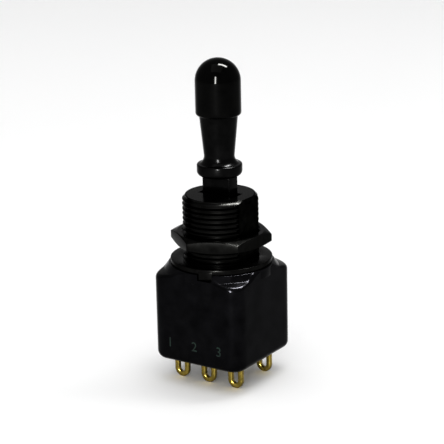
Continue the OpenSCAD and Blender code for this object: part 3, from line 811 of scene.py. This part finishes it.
class SWITCH_OT_housing(bpy.types.Operator):
    """Makes the moulded housing and the boss on its top"""

    bl_idname = "switch.housing"
    bl_label = "Housing"

    def execute(self, context):
        s = context.scene.switch_housing
        hardware = context.scene.switch_hardware
        bottom, boss_top = HOUSING_LOW.z, HOUSING_HIGH.z
        top = boss_top - s.boss_height
        half = s.half_width
        roof = top - s.roof
        inner = half - s.wall
        rim = outline(half, s.corner_radius)
        boss_radius = half + s.boss_reach
        crown = s.boss_height - s.boss_step / 2
        inner_end = boss_radius + s.boss_step / 2
        steep_end = inner_end + s.flare_run
        shoulder = crown - s.flare_run * tan(s.flare_top)
        outer_end = steep_end + s.flare * (sin(s.flare_top) - sin(s.flare_foot))
        low_end = shoulder - s.flare * (cos(s.flare_foot) - cos(s.flare_top))

        def lift(radius):
            """Height of the flare at a radius: level on the boss, steep, hollow, then a slight slope."""
            if radius >= outer_end:
                return low_end - (radius - outer_end) * tan(s.flare_foot)
            if radius <= steep_end:
                return crown - max(0.0, radius - inner_end) * tan(s.flare_top)
            reach = steep_end - radius + s.flare * sin(s.flare_top)
            return shoulder + s.flare * cos(s.flare_top) - sqrt(s.flare ** 2 - reach ** 2)

        bm = bmesh.new()

        def ring(points, heights):
            return [bm.verts.new((x, y, z)) for (x, y), z in zip(points, heights)]

        count = len(rim)
        inside = outline(inner, s.corner_radius - s.wall)
        rings = [ring(inside, [bottom] * count)]
        for k in range(9):
            turn = pi / 2 * k / 8
            inset = s.bottom_radius * (1 - sin(turn))
            points = outline(half - inset, s.corner_radius - inset)
            rings.append(ring(points, [bottom + s.bottom_radius * (1 - cos(turn))] * count))
        step = 0.01 * MM
        facing = [((x - u) / step, (y - v) / step)
                  for (x, y), (u, v) in zip(rim, outline(half - step, s.corner_radius - step))]
        reach_out = (half - s.corner_radius) * sqrt(2.0) + s.corner_radius
        nearness = [max(0.0, (hypot(x, y) - half) / (reach_out - half)) for x, y in rim]
        softness = [s.top_radius + (s.corner_round - s.top_radius) * near ** 2 for near in nearness]
        for k in range(9):
            turn = pi / 2 * k / 8
            points = [(x - n * r * (1 - cos(turn)), y - m * r * (1 - cos(turn)))
                      for (x, y), (n, m), r in zip(rim, facing, softness)]
            heights = [top + lift(hypot(x, y)) - r * (1 - sin(turn)) for (x, y), r in zip(points, softness)]
            if k == 0:
                for share in (0.25, 0.5, 0.75):
                    low = bottom + s.bottom_radius
                    rings.append(ring(points, [low + share * (h - low) for h in heights]))
            rings.append(ring(points, heights))
        brow = points
        hole = hardware.ring_bore
        under_boss = 7.3 * MM
        gathering = 0.02
        stations = [outer_end + (steep_end - outer_end) * k / 5 for k in range(6)]
        stations += [steep_end + (inner_end - steep_end) * k / 3 for k in range(1, 4)] + [under_boss]
        for index, station in enumerate(stations, 1):
            points, heights = [], []
            for x, y in brow:
                radius = hypot(x, y)
                r = min(station, radius - (radius - under_boss) * gathering * index)
                points.append((x * r / radius, y * r / radius))
                heights.append(top + lift(r))
            rings.append(ring(points, heights))
        around = [(hole * x / hypot(x, y), hole * y / hypot(x, y)) for x, y in rim]
        rings.append(ring(around, [top + lift(0.0)] * count))
        rings.append(ring(around, [roof] * count))
        rings.append(ring(inside, [roof] * count))
        join_rings(bm, rings, True)
        shell = object_from_bmesh("housing_shell", bm)
        soft = 0.1 * MM
        low = top - s.boss_drop
        boss = lathe("housing_boss", [(hole, low), *arc((boss_radius - soft, low + soft), soft, -90, 0, 5),
                                      *arc((boss_radius - soft, boss_top - soft), soft, 0, 90, 5), (hole, boss_top)],
                     steps=256, closed=True)
        notch_half = 1.25 * MM
        notch_low = (RING_HIGH.x - 0.6 * MM, -notch_half, RING_LOW.z - 0.05 * MM)
        for piece in (shell, boss):
            cutter = block("notch_cutter", notch_low, (half + 2 * MM, notch_half, 0.5 * MM))
            cutter.data.transform(Matrix.Rotation(hardware.tab_angle, 4, "Z"))
            cut(piece, cutter)
        join(shell, boss)
        shade(shell, 30.0)
        finish_piece(shell, CASE, FINISH["housing_black"], ["housing"])
        return {"FINISHED"}


class SWITCH_OT_terminals(bpy.types.Operator):
    """Bends the six gold-plated solder lugs and sets them on their contact blades"""

    bl_idname = "switch.terminals"
    bl_label = "Solder lugs"

    def execute(self, context):
        s = context.scene.switch_terminals
        low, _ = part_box("terminal_front_left")
        lugs = run_tree("solder_lugs", solder_lug_tree(), {
            "Pitch": s.pitch, "Row pitch": s.row_pitch, "Lug width": s.lug_width, "Strand width": s.strand_width,
            "Strand thickness": s.strand_thickness, "Strand rounding": s.strand_round,
            "Top height": BASE_LOW.z + 1.0 * MM, "Tip height": low.z, "Material": FINISH["terminal_gold"]})
        nodes = ["terminal_%s_%s" % (row, place) for row in ("front", "rear") for place in ("left", "centre", "right")]
        heads = [new_object(node + "_head", frame["nodes"][node].data.copy()) for node in nodes]
        for head in heads:
            trim(head, (0, 0, BASE_LOW.z + 0.5 * MM), (0, 0, -1))
        join(lugs, *heads)
        shade(lugs, 35.0)
        finish_piece(lugs, CASE, FINISH["terminal_gold"], nodes)
        return {"FINISHED"}


class SWITCH_OT_numbers(bpy.types.Operator):
    """Prints the plain number of each terminal on the housing above it"""

    bl_idname = "switch.numbers"
    bl_label = "Terminal numbers"

    def execute(self, context):
        s = context.scene.switch_marking
        lugs = context.scene.switch_terminals
        half = context.scene.switch_housing.half_width
        bm = bmesh.new()
        for index, (x, side) in enumerate([(-1, -1), (0, -1), (1, -1), (1, 1), (0, 1), (-1, 1)], 1):
            letter = bpy.data.curves.new("number_%d" % index, "FONT")
            letter.body = str(index)
            letter.size = s.height
            letter.align_x = "CENTER"
            letter.extrude = s.ink
            letter.resolution_u = 4
            drawn = new_object(letter.name, letter)
            mesh = bpy.data.meshes.new_from_object(drawn.evaluated_get(context.evaluated_depsgraph_get()))
            bpy.data.objects.remove(drawn)
            bpy.data.curves.remove(letter)
            place = Matrix.Translation((x * lugs.pitch * s.spread, side * half, HOUSING_LOW.z + s.base_height))
            turn = Matrix.Rotation(pi if side > 0 else 0.0, 4, "Z") @ Matrix.Rotation(pi / 2, 4, "X")
            mesh.transform(place @ turn)
            bm.from_mesh(mesh)
            bpy.data.meshes.remove(mesh)
        numbers = object_from_bmesh("terminal_numbers", bm)
        finish_piece(numbers, CASE, FINISH["print_ink"], [])
        return {"FINISHED"}


class SWITCH_OT_handle(bpy.types.Operator):
    """Turns the handle with its collar and waist, and adds the locking foot"""

    bl_idname = "switch.handle"
    bl_label = "Handle"

    def execute(self, context):
        s = context.scene.switch_handle
        collar = CAP_HIGH.x
        cap_low = CAP_LOW.z
        top_soft = 0.3 * MM
        centre = (s.waist_radius + s.flare, s.waist_height)
        start = degrees(asin((s.waist_height - s.collar_high) / s.flare))
        profile = [(s.bore, s.collar_low)]
        profile += arc((collar - s.collar_round, s.collar_low + s.collar_round), s.collar_round, -90, 0, 10)
        profile += arc((collar - top_soft, s.collar_high - top_soft), top_soft, 0, 90, 6)
        profile += arc(centre, s.flare, 180 + start, 180, 14)
        shank = cap_low - s.waist_height
        for k in range(1, 9):
            share = k / 8
            profile.append((s.waist_radius + (s.shank_radius - s.waist_radius) * share, s.waist_height + shank * share))
        profile += [(s.neck_radius, cap_low), (s.neck_radius, HANDLE_HIGH.z), (s.chamber, HANDLE_HIGH.z),
                    (s.chamber, s.chamber_floor), (s.bore, s.chamber_floor)]
        handle = lathe("handle_shank", profile, steps=160, closed=True)
        foot = block("locking_foot", (-s.foot_length / 2, -s.foot_width / 2, HANDLE_LOW.z),
                     (s.foot_length / 2, s.foot_width / 2, s.collar_low + 0.3 * MM))
        round_edges(foot, s.foot_round, over=60.0, segments=4)
        cut(foot, lathe("rod_cutter", [(0, HANDLE_LOW.z - MM), (s.bore, HANDLE_LOW.z - MM), (s.bore, s.collar_high),
                                       (0, s.collar_high)], steps=64))
        join(handle, foot)
        shade(handle, 32.0)
        finish_piece(handle, GRIP, FINISH["handle_black"], ["handle"])

        radius = CAP_HIGH.x
        dome = CAP_HIGH.z - radius
        edge = s.cap_edge
        profile = [(0, HANDLE_HIGH.z), (s.neck_radius, HANDLE_HIGH.z), (s.neck_radius, cap_low)]
        profile += arc((radius - edge, cap_low + edge), edge, -90, 0, 6)
        profile += [(radius, cap_low + (dome - cap_low) * k / 6) for k in range(1, 6)]
        profile += arc((0, dome), radius, 0, 90, 32)[:-1] + [(0, CAP_HIGH.z)]
        cap = lathe("cap_dome", profile, steps=192)
        shade(cap, 32.0)
        finish_piece(cap, GRIP, FINISH["cap_black"], ["handle_cap"])
        return {"FINISHED"}


class SWITCH_OT_stage(bpy.types.Operator):
    """Sets the floor, the lamps, the world and the camera"""

    bl_idname = "switch.stage"
    bl_label = "Stage"

    def execute(self, context):
        s = context.scene.switch_stage
        scene = context.scene
        bm = bmesh.new()
        bmesh.ops.create_grid(bm, x_segments=8, y_segments=8, size=4.0)
        for v in bm.verts:
            v.co.z = CAD_BOX[0][2]
        floor = object_from_bmesh("floor", bm)
        floor.data.materials.append(
            surface("floor_white", s.floor, (0.85, 0.95), grain=60.0, relief=0.0, patch=5.0, tint=0.0))

        world = bpy.data.worlds.new("studio")
        scene.world = world
        world.use_nodes = True
        background = world.node_tree.nodes["Background"]
        background.inputs["Color"].default_value = (*s.sky, 1.0)
        background.inputs["Strength"].default_value = 1.0

        def softbox(name, azimuth, elevation, distance, width, height, radiance, turn=0.0, diffuse=True):
            """An area lamp that faces the bushing, with its brightness given as radiance and its roll in degrees."""
            data = bpy.data.lights.new(name, "AREA")
            data.shape = "RECTANGLE"
            data.size, data.size_y = width, height
            data.energy = radiance * width * height * pi
            lamp = new_object(name, data)
            a, e = radians(azimuth), radians(elevation)
            away = Vector((sin(a) * cos(e), -cos(a) * cos(e), sin(e)))
            lamp.location = Vector((0, 0, 0.008)) + away * distance
            lamp.rotation_euler = (away.to_track_quat("Z", "Y") @ Quaternion((0, 0, 1), radians(turn))).to_euler()
            lamp.visible_camera = False
            lamp.visible_diffuse = diffuse

        softbox("softbox_top", 20, 78, 0.6, 0.5, 0.5, 1.4)
        softbox("strip_front", 22, 15, 0.5, 0.045, 0.30, 380.0, diffuse=False)
        softbox("strip_over", 148.3, 70.1, 0.5, 0.07, 0.27, 380.0, turn=-26.5, diffuse=False)

        yaw, elevation, roll = s.yaw, s.elevation, s.roll
        away = Vector((sin(yaw) * cos(elevation), -cos(yaw) * cos(elevation), sin(elevation)))
        right = Vector((cos(yaw), sin(yaw), 0.0))
        up = away.cross(right)
        image_right = cos(roll) * right + sin(roll) * up
        image_up = -sin(roll) * right + cos(roll) * up
        data = bpy.data.cameras.new("camera")
        data.lens = s.focal_length
        data.sensor_width = 36.0
        data.clip_start, data.clip_end = 0.01, 20.0
        camera = new_object("camera", data)
        camera.location = (Vector((0, 0, s.target_height)) + s.shift_right * image_right - s.shift_down * image_up
                           + s.distance * away)
        camera.rotation_euler = Matrix((image_right, image_up, away)).transposed().to_euler()
        scene.camera = camera
        scene.view_settings.view_transform = "Standard"
        return {"FINISHED"}


class SWITCH_PT_panel(bpy.types.Panel):
    """Lists the pieces of the switch with their settings"""

    bl_label = "Toggle switch"
    bl_idname = "SWITCH_PT_panel"
    bl_space_type = "VIEW_3D"
    bl_region_type = "UI"
    bl_category = "Toggle Switch"

    def draw(self, context):
        for operator, group in STEPS:
            box = self.layout.box()
            box.operator(operator)
            settings = getattr(context.scene, group)
            for name in settings.__annotations__:
                box.prop(settings, name)


FINISH = {}
STEPS = [
    ("switch.cad_finishes", "switch_finishes"),
    ("switch.bushing", "switch_bushing"),
    ("switch.nut", "switch_hardware"),
    ("switch.locking_ring", "switch_hardware"),
    ("switch.housing", "switch_housing"),
    ("switch.terminals", "switch_terminals"),
    ("switch.numbers", "switch_marking"),
    ("switch.handle", "switch_handle"),
    ("switch.stage", "switch_stage"),
]
SETTINGS = {
    "switch_bushing": BushingSettings,
    "switch_hardware": HardwareSettings,
    "switch_housing": HousingSettings,
    "switch_terminals": TerminalSettings,
    "switch_marking": MarkingSettings,
    "switch_handle": HandleSettings,
    "switch_finishes": FinishSettings,
    "switch_stage": StageSettings,
}
CLASSES = (
    *SETTINGS.values(), SWITCH_OT_cad_finishes, SWITCH_OT_bushing, SWITCH_OT_nut, SWITCH_OT_locking_ring,
    SWITCH_OT_housing, SWITCH_OT_terminals, SWITCH_OT_numbers, SWITCH_OT_handle, SWITCH_OT_stage, SWITCH_PT_panel,
)


def register():
    for cls in CLASSES:
        bpy.utils.register_class(cls)
    for name, group in SETTINGS.items():
        setattr(bpy.types.Scene, name, bpy.props.PointerProperty(type=group))


def unregister():
    for name in SETTINGS:
        delattr(bpy.types.Scene, name)
    for cls in reversed(CLASSES):
        bpy.utils.unregister_class(cls)


def main():
    register()
    for operator, _ in STEPS:
        group, name = operator.split(".")
        getattr(getattr(bpy.ops, group), name)()


if __name__ == "__main__":
    main()
